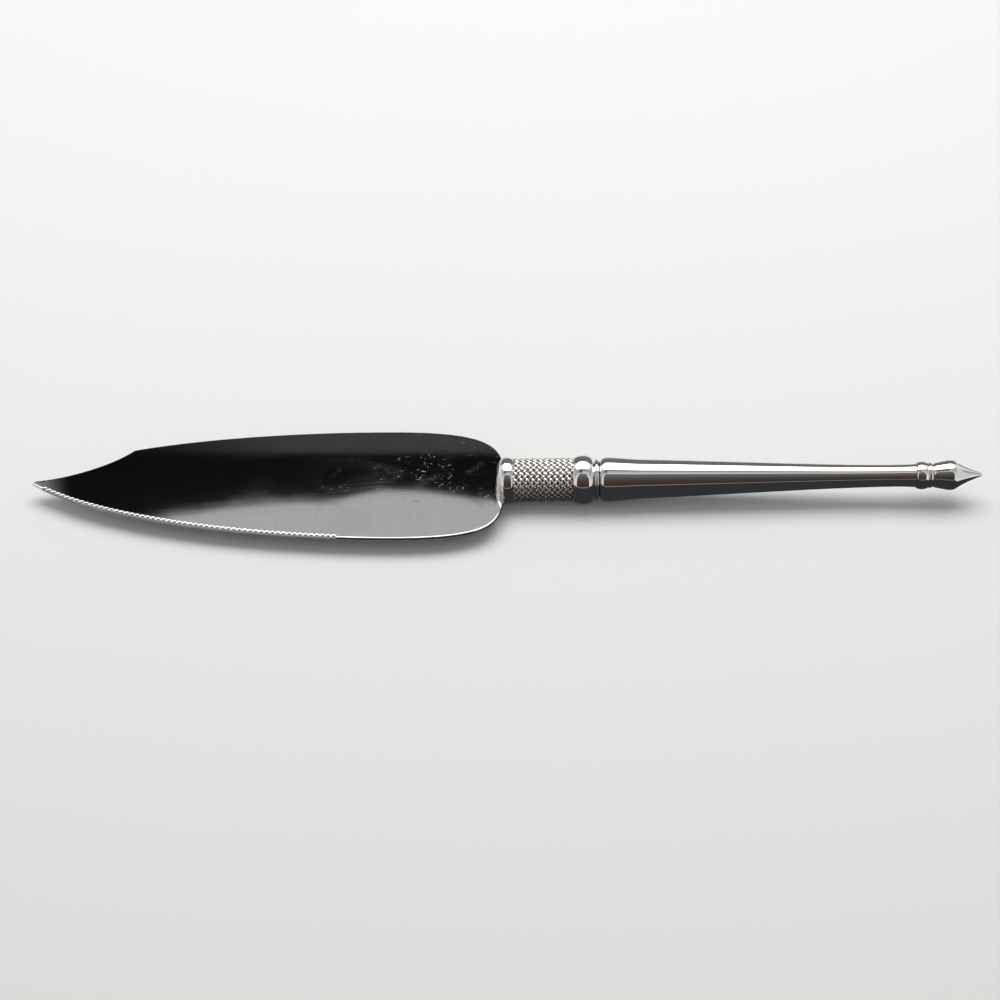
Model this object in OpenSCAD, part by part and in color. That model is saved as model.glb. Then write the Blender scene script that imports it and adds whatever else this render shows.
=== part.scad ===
// Pie server with a serrated triangular blade and a beaded, woven-band handle.
// It lies on the bolster's bead and the collar's bead, with the blade level.
// All lengths are in millimetres. The handle is worked out along its own axis,
// from the crown of the bolster's bead, and the blade runs the other way.

/* [Blade] */
// Length of the blade from the crown of the bolster to the tip
blade_len = 160; // [140:1:180]
// Width of the blade across its widest place
blade_w = 54.9; // [44:0.1:66]
// How much further the serrated side reaches out there than half the width
belly_shift = 0.15; // [0:0.05:1]
// Thickness of the blade's sheet
blade_t = 1.1; // [0.9:0.1:1.6]
// Distance from the bolster's crown to the blade's widest place
widest_at = 38; // [32:1:48]
// Length of the hollow clip behind the tip, on the plain side
clip_len = 33; // [24:1:40]
// Width of the blade's plain half where the clip ends
clip_w = 17.5; // [12:0.1:20]
// Width of the blunt nose at the tip
nose_w = 1.8; // [1.2:0.1:3]
// How far the blade's face hangs below the handle's axis
blade_drop = 2; // [1.6:0.05:3]
// Length over which the heel bends to the handle's axis
crank_len = 8; // [5:0.5:20]
// Width of the blade's tang, inside the handle
tang_w = 5; // [4:0.1:6]
// Length of the tang behind the heel
tang_len = 13; // [8:1:18]
// How far the tang lies below the handle's axis
tang_drop = 1.9; // [0.8:0.1:2.2]

/* [Serrated edge] */
// Distance from the bolster's crown to the first tooth
teeth_start = 56; // [52:1:80]
// Spacing of the teeth along the edge
tooth_pitch = 1.86; // [1.6:0.02:2.6]
// Length of edge that stays plain at the tip
tip_plain = 4.5; // [2:0.5:12]
// Radius of the grinding wheel that cuts each hollow
tooth_r = 0.95; // [0.7:0.05:1.1]
// Depth of a hollow at the edge
tooth_depth = 0.72; // [0.4:0.02:0.8]
// How far a hollow runs in from the edge
tooth_run = 1.25; // [0.8:0.05:2]

/* [Bolster] */
// Radius of the bolster's bead at its crown
bolster_r = 7.9; // [7:0.05:8.2]
// Depth of the domed face in front of the crown
bolster_nose = 3.4; // [2.5:0.1:5]
// Radius of the flat in the middle of the domed face
bolster_flat_r = 1.4; // [1.2:0.1:3]
// Length of the bead behind the crown
bolster_back = 2.4; // [2:0.1:4]
// Radius of the bead where it meets the woven band
bolster_back_r = 7.35; // [6.8:0.05:7.6]

/* [Woven band] */
// Length of the woven band
band_len = 20.1; // [12:0.1:28]
// Radius of the band over its wires
band_r = 7.3; // [6.8:0.05:7.6]
// Thickness of one wire
wire_d = 0.66; // [0.5:0.01:0.8]
// Number of wires in each direction round the band
wires = 19; // [12:1:24]
// Length of one repeat of the weave along the band
weave_pitch = 2; // [1.4:0.05:3]

/* [Core rod] */
// Radius of the rod under the woven band
core_r = 5.5; // [5:0.1:5.8]
// Radius of the spigots at both ends of the rod
spigot_r = 4; // [3.4:0.1:4.4]
// Depth to which the rod enters the grip
core_grip_depth = 25; // [15:1:35]

/* [Collar] */
// Radius of the collar's bead at its crown
collar_r = 8.32; // [8.25:0.01:9]
// Width of the collar's bead
collar_w = 6.7; // [5:0.1:9]
// Radius of the bead at its two sides
collar_side_r = 7.1; // [6.6:0.05:7.6]
// Width of the small ring behind the bead
ring_w = 1.75; // [1:0.05:3]
// Radius of the small ring at its crown
ring_r = 6.85; // [6.4:0.05:7.2]
// Width of the groove between the bead and the small ring
groove_w = 0.4; // [0.2:0.1:1]
// Radius at the bottom of the groove
groove_r = 5.6; // [5.2:0.1:6]

/* [Grip] */
// Length of the tapered grip
grip_len = 106.4; // [80:0.1:130]
// Largest radius of the grip, at its shoulder
grip_r = 7.5; // [7:0.05:9]
// Radius of the grip where the shoulder has run out
grip_waist_r = 6.68; // [6.2:0.02:7]
// Distance from the grip's front to that place
grip_waist_at = 14.6; // [11:0.1:18]
// Radius of the grip at its thinnest place
grip_thin_r = 3.75; // [3.2:0.05:4.4]
// Distance from the grip's rear end to its thinnest place
grip_thin_at = 10; // [6:0.5:16]
// Radius of the grip's flared rear end
grip_end_r = 3.95; // [3.5:0.05:4.6]

/* [Finial] */
// Width of the finial's ringed bead
finial_bead_w = 3.95; // [3:0.05:6]
// Radius of the ringed bead at its crown
finial_bead_r = 4.72; // [4.3:0.02:5.4]
// Radius of the narrow ring behind the bead
finial_ring_r = 4.3; // [4:0.02:4.8]
// Width of the narrow ring behind the bead
finial_ring_w = 1.4; // [1:0.05:2.4]
// Radius of the finial's neck
finial_neck_r = 3.85; // [3.4:0.05:4.2]
// Radius of the finial's body at its shoulder
finial_body_r = 5.15; // [4.6:0.05:6]
// Length of the finial's body from the neck to its shoulder
finial_body_len = 6.3; // [4:0.1:10]
// Length of the finial's cone from the shoulder to its point
finial_cone_len = 10.4; // [7:0.1:16]
// Radius of the rounded point
finial_tip_r = 0.75; // [0.5:0.05:1.2]
// Radius of the stud that holds the finial in the grip
stud_r = 1.5; // [1.2:0.1:2]
// Length of the stud
stud_len = 11; // [6:0.5:16]

/* [Fits] */
// Clearance between pieces that seat in or on each other
fit_gap = 0.05; // [0.02:0.01:0.1]

/* [Hidden] */
$fn = 96;

// Steps in each curve of an outline or a profile
steps = 12;
// Steps along the edge when the spacing of the teeth is worked out
edge_steps = 80;
// How far a cutting body reaches past what it cuts
past = 1;
// How far a bore runs into a cut that is open already
overrun = 0.3;

// Stack of pieces along the handle, each place measured from the bolster's crown
heel_end = 0;
band_start = bolster_back + fit_gap;
band_end = band_start + band_len;
collar_front = band_end + fit_gap;
collar_crown = collar_front + collar_w / 2;
ring_front = collar_front + collar_w + groove_w;
collar_back = ring_front + ring_w;
grip_front = collar_back + fit_gap;
grip_back = grip_front + grip_len;
finial_front = grip_back + fit_gap;

// Tilt at which both beads touch the table, and the axis' height at the bolster
tilt = atan((collar_r - bolster_r) / collar_crown);
axis_h = bolster_r * cos(tilt);

// Cubic curve from a to d, without its last point, so that curves join in a chain
function curve(a, b, c, d, n = steps) =
    [for (i = [0:n - 1]) let (t = i / n, u = 1 - t)
        u * u * u * a + 3 * u * u * t * b + 3 * u * t * t * c + t * t * t * d];

function backwards(points) = [for (i = [len(points) - 1:-1:0]) points[i]];
function mirrored(points) = [for (p = points) [p[0], -p[1]]];

// Circular bead between two places of one radius, as points of place and radius
function bead(from, to, side_r, crown_r, n = steps) =
    let (half = (to - from) / 2, rise = crown_r - side_r)
    let (round_r = (half * half + rise * rise) / (2 * rise))
    [for (i = [0:n]) let (x = half * (2 * i / n - 1))
        [from + half + x, crown_r - round_r + sqrt(round_r * round_r - x * x)]];

// Blade's outline, seen from above, with the tip towards -x. The serrated side has the
// fuller heel.
nose_top = [1.6 - blade_len, nose_w - 0.35];
nose_low = [0.7 - blade_len, -0.35];
clip_corner = [clip_len - blade_len, clip_w];
widest = [-widest_at, -blade_w / 2 - belly_shift];
far_widest = [-widest_at, blade_w / 2 - belly_shift];
heel_corner = [heel_end, -6.1];
edge_curve = curve(nose_low, nose_low + [25.3, -19.2], widest - [41, 0], widest, edge_steps);
heel_curve = curve(widest, [-widest_at * 0.03, widest[1]], [-2.8, widest[1] * 0.66],
    heel_corner, 2 * steps);
far_heel_curve = curve(mirrored([heel_corner])[0], [-1.5, far_widest[1] * 0.73],
    [-widest_at * 0.145, far_widest[1]], far_widest, 2 * steps);
back_curve = curve(far_widest, far_widest - [41, 0], clip_corner + [16.6, 4.6],
    clip_corner, 2 * steps);
clip_curve = curve(clip_corner, clip_corner - [6.3, 7.2], nose_top + [11.8, 1.9], nose_top);
nose_curve = curve(nose_top, [-blade_len, nose_w * 0.5], [-blade_len, 0], nose_low);
tang_near = [heel_corner, [heel_end, -tang_w / 2], [heel_end + tang_len, -tang_w / 2]];
blade_outline = concat(edge_curve, heel_curve, tang_near, mirrored(backwards(tang_near)),
    far_heel_curve, back_curve, clip_curve, nose_curve);

// Middle line of the sheet, seen from the side: level face, bent heel, tang
crank_top = [-3, -3 * tan(tilt) - tang_drop / cos(tilt)];
crank_foot = [crank_top[0] - crank_len, -blade_drop];
crank_rise = crank_top[1] + blade_drop;
tang_line_end = heel_end + tang_len + past;
sheet_line = concat([[-blade_len - past, -blade_drop]],
    curve(crank_foot, crank_foot + [crank_len * 0.4, 0],
        crank_top - [crank_len * 0.3, crank_rise * 0.35], crank_top),
    [crank_top, [tang_line_end, crank_top[1] + (tang_line_end - crank_top[0]) * tan(tilt)]]);
function sheet_strip(half_t) = concat([for (p = sheet_line) p - [0, half_t]],
    [for (p = backwards(sheet_line)) p + [0, half_t]]);

// Places of the teeth, spaced evenly along the edge curve
edge_run = [for (i = 0, s = 0; i < len(edge_curve); i = i + 1,
    s = s + (i < len(edge_curve) ? norm(edge_curve[i] - edge_curve[i - 1]) : 0)) s];
run_to_x = [for (i = [0:len(edge_curve) - 1]) [edge_run[i], edge_curve[i][0]]];
run_to_y = [for (i = [0:len(edge_curve) - 1]) [edge_run[i], edge_curve[i][1]]];
x_to_run = [for (i = [0:len(edge_curve) - 1]) [edge_curve[i][0], edge_run[i]]];
teeth_end_run = lookup(-teeth_start, x_to_run);
teeth = floor((teeth_end_run - tip_plain) / tooth_pitch);
function edge_point(run) = [lookup(run, run_to_x), lookup(run, run_to_y)];

// Profiles of the turned pieces, as points of place along the axis and radius
bolster_profile = concat([[-bolster_nose, 0]],
    curve([-bolster_nose, bolster_flat_r], [-bolster_nose + 0.1, bolster_r * 0.55],
        [-bolster_nose * 0.7, bolster_r], [0, bolster_r]),
    curve([0, bolster_r], [bolster_back * 0.45, bolster_r],
        [bolster_back * 0.85, bolster_r - 0.1], [bolster_back, bolster_back_r]),
    [[bolster_back, bolster_back_r], [bolster_back, 0]]);

core_profile = [
    [heel_end + fit_gap, 0], [heel_end + fit_gap, spigot_r],
    [band_start, spigot_r], [band_start, core_r],
    [band_end, core_r], [band_end, spigot_r],
    [grip_front + core_grip_depth, spigot_r], [grip_front + core_grip_depth, 0]];

collar_profile = concat([[collar_front, 0]],
    bead(collar_front, collar_front + collar_w, collar_side_r, collar_r),
    [[collar_front + collar_w, groove_r], [ring_front, groove_r]],
    bead(ring_front + 0.02, collar_back - 0.02, groove_r + 0.35, ring_r),
    [[collar_back, groove_r], [collar_back, 0]]);

grip_shoulder = [grip_front + 2.7, grip_r];
grip_waist = [grip_front + grip_waist_at, grip_waist_r];
grip_thin = [grip_back - grip_thin_at, grip_thin_r];
taper_len = grip_thin[0] - grip_waist[0];
grip_profile = concat([[grip_front, 0]],
    curve([grip_front, groove_r + 0.2], [grip_front + 0.2, grip_r - 0.4],
        grip_shoulder - [1.3, 0], grip_shoulder),
    curve(grip_shoulder, grip_shoulder + [3.4, 0], grip_waist - [5.4, -0.25], grip_waist),
    curve(grip_waist, grip_waist + [taper_len * 0.38, -1],
        grip_thin + [-taper_len * 0.28, 0.25], grip_thin, 2 * steps),
    curve(grip_thin, grip_thin + [grip_thin_at * 0.4, -0.05],
        [grip_back - grip_thin_at * 0.25, grip_end_r - 0.15], [grip_back, grip_end_r]),
    [[grip_back, grip_end_r], [grip_back, 0]]);

finial_ring = finial_front + finial_bead_w + 0.1;
finial_neck = finial_ring + finial_ring_w;
finial_body = finial_neck + 0.4;
finial_shoulder = [finial_body + finial_body_len, finial_body_r];
finial_end = finial_shoulder[0] + finial_cone_len;
finial_profile = concat(
    [[finial_front - stud_len, 0], [finial_front - stud_len, stud_r],
        [finial_front, stud_r], [finial_front, finial_neck_r]],
    bead(finial_front + 0.1, finial_front + finial_bead_w, finial_neck_r + 0.35, finial_bead_r),
    bead(finial_ring, finial_neck, finial_neck_r + 0.1, finial_ring_r, 8),
    [[finial_neck + 0.1, finial_neck_r], [finial_body, finial_neck_r]],
    curve([finial_body + 0.02, finial_neck_r + 0.1], [finial_body + 1, finial_neck_r + 0.6],
        finial_shoulder - [3.4, 0.55], finial_shoulder - [1.6, 0.12]),
    curve(finial_shoulder - [1.6, 0.12], finial_shoulder - [0.6, 0],
        finial_shoulder + [0.5, 0.02], finial_shoulder + [1.2, -0.5]),
    curve(finial_shoulder + [1.2, -0.5], finial_shoulder + [3.4, -1.95],
        [finial_end - 4, 1.75], [finial_end - finial_tip_r * 0.75, finial_tip_r * 0.8]),
    [[finial_end - finial_tip_r * 0.75, finial_tip_r * 0.8],
        [finial_end - finial_tip_r * 0.25, finial_tip_r * 0.5], [finial_end, 0]]);

// Middle of the whole length. The model stands centred on its origin, and the shift of
// the blade's belly moves it sideways for that.
front_x = min([for (p = blade_outline) p[0]]);
rear_x = max([for (p = finial_profile) p[0] * cos(tilt) + p[1] * sin(tilt)]);
middle_x = (front_x + rear_x) / 2;

module level_frame() {
    translate([-middle_x, belly_shift, axis_h]) children();
}

module axis_frame() {
    level_frame() rotate([0, -tilt, 0]) children();
}

module turned(profile) {
    rotate([0, 90, 0]) rotate_extrude() polygon([for (p = profile) [p[1], p[0]]]);
}

module rod(from, to, r) {
    translate([from, 0, 0]) rotate([0, 90, 0]) cylinder(r = r, h = to - from);
}

module side_cut(points, w) {
    translate([0, w / 2, 0]) rotate([90, 0, 0]) linear_extrude(w) polygon(points);
}

// One hollow of the serrated edge, cut by a wheel that leans outwards and down
module tooth_hollow() {
    lean = atan(tooth_depth / tooth_run);
    reach_in = tooth_run / cos(lean) + past / 2;
    translate([0, 0, blade_t / 2 - blade_drop - tooth_depth]) rotate([0, lean, 0])
        translate([-reach_in, 0, tooth_r]) rotate([0, 90, 0])
            cylinder(r = tooth_r, h = reach_in + 2 * past, $fn = 48);
}

module blade() {
    color("gainsboro") level_frame() difference() {
        intersection() {
            translate([0, 0, -blade_drop - 2 * blade_t])
                linear_extrude(blade_drop + 4 * blade_t) polygon(blade_outline);
            side_cut(sheet_strip(blade_t / 2), blade_w + 2 * past);
        }
        for (i = [0:teeth - 1]) {
            run = teeth_end_run - (i + 0.5) * tooth_pitch;
            place = edge_point(run);
            along = edge_point(run + tooth_pitch / 2) - edge_point(run - tooth_pitch / 2);
            translate([place[0], place[1], 0]) rotate([0, 0, atan2(along[1], along[0]) - 90])
                tooth_hollow();
        }
    }
}

// Bead with a slot across its front for the blade's heel and a bore for the rod
module bolster() {
    color("silver") difference() {
        axis_frame() turned(bolster_profile);
        intersection() {
            level_frame() side_cut(sheet_strip(blade_t / 2 + fit_gap), 2 * bolster_r + past);
            level_frame() translate([-bolster_nose - past, -bolster_r - past, -bolster_r])
                cube([bolster_nose + past + heel_end + fit_gap, 2 * (bolster_r + past),
                    2 * bolster_r]);
        }
        axis_frame() rod(heel_end - overrun, bolster_back + past, spigot_r + fit_gap);
    }
}

module core_rod() {
    slot_w = tang_w + 2 * fit_gap;
    slot_t = blade_t + 2 * fit_gap;
    color("dimgray") difference() {
        axis_frame() turned(core_profile);
        axis_frame() translate([heel_end - past, -slot_w / 2, -tang_drop - slot_t / 2])
            cube([tang_len + past + fit_gap, slot_w, slot_t]);
    }
}

// Height of the weave's surface over the rod, at a place counted in repeats along
// and round the band. Each family of wires dips under the other in turn.
function wire_bump(off, lift) =
    abs(off) > 0.36 ? -wire_d : lift + wire_d / 2 * cos(off / 0.36 * 90) - wire_d / 2;
function off_line(v) = v - round(v);
function weave_height(u, v) =
    let (m = round(u + v), n = round(u - v))
    max(wire_bump(off_line(u + v), wire_d / 4 * cos(180 * (m + u - v))),
        wire_bump(off_line(u - v), -wire_d / 4 * cos(180 * (n + u + v))));

// Woven tube: the outer wall follows the weave, the inner wall fits on the rod
module woven_band() {
    around = 4 * wires;
    along = 4 * round(band_len / weave_pitch);
    inner_r = core_r + fit_gap;
    top_r = band_r - wire_d / 4;
    outer = [for (i = [0:along], j = [0:around - 1])
        let (r = top_r + weave_height(i / 4, j / 4), a = 360 * j / around)
        [band_start + band_len * i / along, r * cos(a), r * sin(a)]];
    inner = [for (end = [band_start, band_end], j = [0:around - 1])
        let (a = 360 * j / around) [end, inner_r * cos(a), inner_r * sin(a)]];
    first = len(outer);
    second = first + around;
    last = around * along;
    color("darkgray") axis_frame() polyhedron(points = concat(outer, inner), faces = concat(
        [for (i = [0:along - 1], j = [0:around - 1], half = [0, 1])
            let (a = i * around + j, b = i * around + (j + 1) % around)
            (i + j) % 2 == 0
                ? (half == 0 ? [a, b, b + around] : [a, b + around, a + around])
                : (half == 0 ? [a, b, a + around] : [b, b + around, a + around])],
        [for (j = [0:around - 1]) let (k = (j + 1) % around)
            [first + j, second + j, second + k, first + k]],
        [for (j = [0:around - 1]) let (k = (j + 1) % around) [j, first + j, first + k, k]],
        [for (j = [0:around - 1]) let (k = (j + 1) % around)
            [last + j, last + k, second + k, second + j]]));
}

module collar() {
    color("silver") axis_frame() difference() {
        turned(collar_profile);
        rod(collar_front - past, collar_back + past, spigot_r + fit_gap);
    }
}

module grip() {
    color("silver") axis_frame() difference() {
        turned(grip_profile);
        rod(grip_front - past, grip_front + core_grip_depth + fit_gap, spigot_r + fit_gap);
        rod(finial_front - stud_len - fit_gap, grip_back + past, stud_r + fit_gap);
    }
}

module finial() {
    color("silver") axis_frame() turned(finial_profile);
}

blade();
bolster();
core_rod();
woven_band();
collar();
grip();
finial();
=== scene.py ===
"""Looks of a pie server with a serrated blade and a beaded, wire-bound handle.

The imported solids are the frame. Every piece below is made in their frame, from the
same sizes, and stands for the solid that it replaces.
"""

import math
import random

import bpy
import numpy as np
from bpy.props import FloatProperty, FloatVectorProperty, IntProperty, PointerProperty
from bpy.types import Operator, Panel, PropertyGroup
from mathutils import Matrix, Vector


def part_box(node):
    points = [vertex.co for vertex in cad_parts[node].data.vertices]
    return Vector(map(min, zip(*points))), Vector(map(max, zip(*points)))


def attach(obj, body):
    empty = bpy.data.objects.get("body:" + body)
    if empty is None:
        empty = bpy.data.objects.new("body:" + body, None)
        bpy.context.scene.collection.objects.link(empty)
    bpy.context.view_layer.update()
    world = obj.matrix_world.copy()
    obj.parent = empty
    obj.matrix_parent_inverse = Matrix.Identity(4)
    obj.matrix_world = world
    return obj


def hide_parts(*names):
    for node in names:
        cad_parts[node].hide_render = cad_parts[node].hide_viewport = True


bl_info = {
    "name": "Pie server",
    "version": (1, 0, 0),
    "blender": (4, 5, 0),
    "location": "3D View > Sidebar > Pie server",
    "description": "Dresses the packed solids of a pie server",
    "category": "Object",
}

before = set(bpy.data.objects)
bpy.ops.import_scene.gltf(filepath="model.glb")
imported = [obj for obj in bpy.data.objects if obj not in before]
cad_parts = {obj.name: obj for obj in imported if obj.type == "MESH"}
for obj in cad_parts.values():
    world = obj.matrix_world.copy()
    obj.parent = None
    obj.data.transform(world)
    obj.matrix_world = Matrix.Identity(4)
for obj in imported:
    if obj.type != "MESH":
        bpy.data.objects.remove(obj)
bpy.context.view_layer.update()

MM = 0.001  # metres in a millimetre
BODY = "root"


# Properties


def length(name, millimetres, description):
    return FloatProperty(
        name=name, description=description, default=millimetres * MM, min=0.0, unit="LENGTH", precision=5
    )


def colour(name, value, description):
    return FloatVectorProperty(
        name=name, description=description, default=value, subtype="COLOR", size=3, min=0.0, max=1.0
    )


def share(name, value, description):
    return FloatProperty(
        name=name, description=description, default=value, min=0.0, max=1.0, subtype="FACTOR"
    )


def count(name, value, description, least=0):
    return IntProperty(name=name, description=description, default=value, min=least)


class BladeSizes(PropertyGroup):
    long: length("Length", 160, "Length from the crown of the bolster to the tip")
    wide: length("Width", 54.9, "Width across the widest place")
    belly: length("Belly shift", 0.15, "How much further the serrated side reaches out there")
    thick: length("Thickness", 1.1, "Thickness of the sheet")
    widest_at: length("Widest place", 38, "Distance from the bolster's crown to the widest place")
    clip_long: length("Clip length", 33, "Length of the hollow clip behind the tip")
    clip_wide: length("Clip width", 17.5, "Width of the plain half where the clip ends")
    nose: length("Nose width", 1.8, "Width of the blunt nose")
    drop: length("Drop", 2, "How far the face hangs below the handle's axis")
    crank: length("Bend length", 8, "Length over which the heel bends to the handle's axis")
    tang_wide: length("Tang width", 5, "Width of the tang inside the handle")
    tang_long: length("Tang length", 13, "Length of the tang behind the heel")
    tang_drop: length("Tang drop", 1.9, "How far the tang lies below the axis")
    top_round: length("Upper rounding", 0.5, "Radius of the polished rounding of the upper rim")
    low_round: length("Lower rounding", 0.3, "Radius of the polished rounding of the lower rim")


class ToothSizes(PropertyGroup):
    start: length("First tooth", 56, "Distance from the bolster's crown to the first tooth")
    pitch: length("Pitch", 1.86, "Spacing of the teeth along the edge")
    plain_tip: length("Plain tip", 4.5, "Length of edge that stays plain at the tip")
    wheel: length("Wheel radius", 0.95, "Radius of the wheel that grinds each hollow")
    deep: length("Depth", 0.72, "Depth of a hollow at the edge")
    run: length("Run", 1.25, "How far a hollow runs in from the edge")
    soft: length("Soft rim", 0.025, "Polished softness of a hollow's upper rim")


class HandleSizes(PropertyGroup):
    bolster_r: length("Bolster radius", 7.9, "Radius of the bolster's bead at its crown")
    bolster_nose: length("Bolster nose", 3.4, "Depth of the domed face in front of the crown")
    bolster_flat: length("Bolster flat", 1.4, "Radius of the flat in the middle of the dome")
    bolster_back: length("Bolster back", 2.4, "Length of the bead behind the crown")
    bolster_back_r: length("Bolster back radius", 7.35, "Radius where the bead meets the woven band")
    spigot_r: length("Spigot radius", 4, "Radius of the rod's spigots")
    collar_r: length("Collar radius", 8.32, "Radius of the collar's bead at its crown")
    collar_wide: length("Collar width", 6.7, "Width of the collar's bead")
    collar_side_r: length("Collar side radius", 7.1, "Radius of the bead at its sides")
    ring_wide: length("Ring width", 1.75, "Width of the small ring behind the bead")
    ring_r: length("Ring radius", 6.85, "Radius of the small ring")
    groove_wide: length("Groove width", 0.4, "Width of the groove in front of the small ring")
    groove_r: length("Groove radius", 5.6, "Radius at the bottom of the groove")
    grip_long: length("Grip length", 106.4, "Length of the tapered grip")
    grip_r: length("Grip radius", 7.5, "Largest radius of the grip")
    waist_r: length("Waist radius", 6.68, "Radius where the shoulder has run out")
    waist_at: length("Waist place", 14.6, "Distance from the grip's front to that place")
    thin_r: length("Thin radius", 3.75, "Radius of the grip at its thinnest place")
    thin_at: length("Thin place", 10, "Distance from the grip's rear end to that place")
    end_r: length("End radius", 3.95, "Radius of the grip's flared rear end")
    rod_in_grip: length("Rod in grip", 25, "Depth to which the rod enters the grip")
    fit: length("Clearance", 0.05, "Clearance between seated pieces")


class FinialSizes(PropertyGroup):
    bead_wide: length("Bead width", 3.95, "Width of the ringed bead")
    bead_r: length("Bead radius", 4.72, "Radius of the ringed bead")
    ring_r: length("Ring radius", 4.3, "Radius of the narrow ring")
    ring_wide: length("Ring width", 1.4, "Width of the narrow ring")
    neck_r: length("Neck radius", 3.85, "Radius of the neck")
    body_r: length("Body radius", 5.15, "Radius of the body at its shoulder")
    body_long: length("Body length", 6.3, "Length of the body up to its shoulder")
    cone_long: length("Cone length", 10.4, "Length of the cone")
    tip_r: length("Tip radius", 0.75, "Radius of the rounded point")
    stud_r: length("Stud radius", 1.5, "Radius of the stud in the grip")
    stud_long: length("Stud length", 11, "Length of the stud")


class BandSizes(PropertyGroup):
    long: length("Length", 20.1, "Length of the woven band")
    radius: length("Radius", 7.3, "Radius over the wires")
    core_r: length("Core radius", 5.5, "Radius of the rod under the band")
    wire_wide: length("Wire width", 0.84, "Width of one flattened wire")
    wire_thick: length("Wire thickness", 0.42, "Thickness of one flattened wire")
    pitch: length("Pitch", 2, "Length of one repeat of the weave")
    wires: count("Wires", 19, "Number of wires in each direction", 6)
    seed: count("Seed", 7, "Seed of the wires' small faults")


class Finishes(PropertyGroup):
    blade: colour("Blade", (0.62, 0.62, 0.63), "Polished steel of the blade")
    handle: colour("Handle", (0.80, 0.79, 0.775), "Polished metal of the turned pieces")
    wire: colour("Wire", (0.90, 0.87, 0.81), "Bright wire of the woven band")
    # Painted shade: the colour that stands for the shade deep between the wires
    shade: colour("Painted shade", (0.38, 0.36, 0.33), "Tarnish deep between the wires")
    rod: colour("Rod", (0.09, 0.088, 0.085), "Dull steel of the rod inside the handle")
    blade_rough: share("Blade roughness", 0.03, "Roughness of the polished blade")
    handle_rough: share("Handle roughness", 0.045, "Roughness of the turned pieces")


class StageSizes(PropertyGroup):
    aim: length("Aim height", 5.8, "Height of the point that the camera looks at")
    away: length("Distance", 937.6, "Distance of the camera from that point")
    rise: FloatProperty(
        name="Elevation",
        description="Angle of the camera above the table",
        default=math.radians(41),
        subtype="ANGLE",
    )
    lens: FloatProperty(name="Lens", description="Focal length in millimetres", default=100.0, min=20.0)
    floor: colour("Floor", (0.80, 0.795, 0.785), "Pale floor")
    lamp: FloatProperty(
        name="Softbox", description="Power of the softbox behind the piece", default=11.0, subtype="POWER"
    )
    streaks: count("Streaks", 46, "Streaks of light along the border that the near half mirrors")
    seed: count("Seed", 3, "Seed of the streaks")
    sky: share("Fill", 0.46, "Strength of the even light from all round")


# Curves and profiles, in millimetres along and off the handle's axis


def mm(value):
    return value / MM


def bezier(a, b, c, d, n=24):
    t = np.linspace(0, 1, n + 1)[:, None]
    u = 1 - t
    a, b, c, d = (np.array(p, float) for p in (a, b, c, d))
    return u**3 * a + 3 * u * u * t * b + 3 * u * t * t * c + t**3 * d


def chain(*runs):
    """Joins runs of points and drops points that repeat."""
    points = np.vstack([np.atleast_2d(np.array(r, float)) for r in runs])
    keep = np.ones(len(points), bool)
    keep[1:] = np.linalg.norm(np.diff(points, axis=0), axis=1) > 1e-6
    return points[keep]


def bead_run(start, end, side_r, crown_r, n=28):
    """Crown of a turned bead, with shoulders a little fuller than a circle's."""
    half, rise = (end - start) / 2, crown_r - side_r
    round_r = (half * half + rise * rise) / (2 * rise)
    x = -half * np.cos(np.linspace(0, math.pi, n + 1))
    arc = crown_r - round_r + np.sqrt(round_r**2 - x**2)
    oval = side_r + rise * np.sqrt(np.maximum(1 - (x / half) ** 2, 0))
    return np.column_stack([start + half + x, 0.45 * arc + 0.55 * oval])


class Layout:
    """Places along the handle, the tilt of its axis and the height of that axis."""

    def __init__(self, scene):
        h, b = scene.handle_sizes, scene.band_sizes
        self.gap = gap = mm(h.fit)
        self.belly = mm(scene.blade_sizes.belly)
        self.band_start = mm(h.bolster_back) + gap
        self.band_end = self.band_start + mm(b.long)
        self.collar_front = self.band_end + gap
        self.bead_end = self.collar_front + mm(h.collar_wide)
        self.ring_front = self.bead_end + mm(h.groove_wide)
        self.collar_back = self.ring_front + mm(h.ring_wide)
        self.grip_front = self.collar_back + gap
        self.grip_back = self.grip_front + mm(h.grip_long)
        self.finial_front = self.grip_back + gap
        crown = self.collar_front + mm(h.collar_wide) / 2
        self.tilt = math.atan(mm(h.collar_r - h.bolster_r) / crown)
        self.axis_h = mm(h.bolster_r) * math.cos(self.tilt)
        nose = nose_run(scene.blade_sizes)
        self.middle = float(nose[:, 0].min()) - mm(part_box("blade")[0].x)

    def level(self, points):
        """From the bolster's crown to the frame, level."""
        return np.asarray(points, float) + [-self.middle, self.belly, self.axis_h]

    def tilted(self, points):
        """From the handle's axis to the frame."""
        p = np.asarray(points, float)
        c, s = math.cos(self.tilt), math.sin(self.tilt)
        return self.level(np.column_stack([p[:, 0] * c - p[:, 2] * s, p[:, 1], p[:, 0] * s + p[:, 2] * c]))


def new_object(name, points, faces):
    mesh = bpy.data.meshes.new(name)
    mesh.from_pydata(points, [], faces)
    obj = bpy.data.objects.new(name, mesh)
    bpy.context.scene.collection.objects.link(obj)
    return obj


def mesh_piece(name, points, faces, sharp=35.0):
    """Mesh object from points in millimetres, smooth apart from its sharp edges."""
    obj = new_object(name, [tuple(p) for p in np.asarray(points) * MM], [tuple(f) for f in faces])
    obj.data.validate()
    obj.data.shade_smooth()
    obj.data.set_sharp_from_angle(angle=math.radians(sharp))
    return obj


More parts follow.
